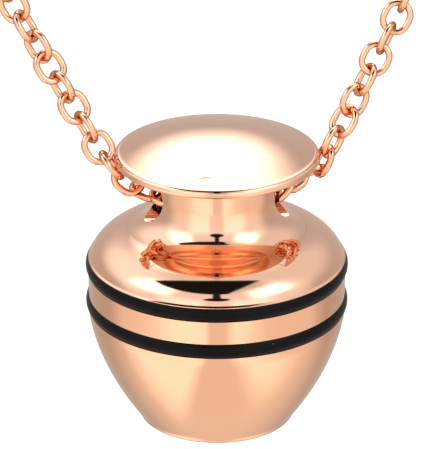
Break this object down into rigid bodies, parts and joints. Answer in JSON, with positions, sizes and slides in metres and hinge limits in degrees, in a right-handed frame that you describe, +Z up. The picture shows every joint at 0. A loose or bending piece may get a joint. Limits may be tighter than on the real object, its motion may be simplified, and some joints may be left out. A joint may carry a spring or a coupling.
{
  "type": "keepsake urn pendant",
  "caption": "Small hollow keepsake urn with a domed screw lid and two black rings, hanging by the lid's cross hole on a cable chain necklace.",
  "frame": {"origin": "middle of the clasp, where the chain lies on the wearer's nape", "axes": "+Z up, -Y to the front, where the urn hangs, +X to the right as seen from the front"},
  "size_m": [0.1214, 0.1187, 0.1661],
  "materials": {
    "urn_metal": "mirror-polished rose gold plating on steel",
    "lid_metal": "mirror-polished rose gold plating on steel",
    "chain_metal": "polished rose gold plating on steel",
    "ring_rubber": "soft black, slightly shiny"
  },
  "bodies": {
    "chain": {"chain": "chain_metal", "clasp": "chain_metal"},
    "lid": {"lid": "lid_metal"},
    "urn": {"urn_body": "urn_metal", "lower_ring": "ring_rubber", "upper_ring": "ring_rubber"}
  },
  "joints": [
    {"name": "pendant_swing", "type": "hinge", "parent": "chain", "child": "lid", "pos_m": [0, -0.108, -0.148], "axis": [1, 0, 0], "range_deg": [-40, 40]},
    {"name": "urn_unscrew", "type": "slide", "parent": "lid", "child": "urn", "axis": [0, 0, -1], "range_m": [0, 0.006]}
  ]
}
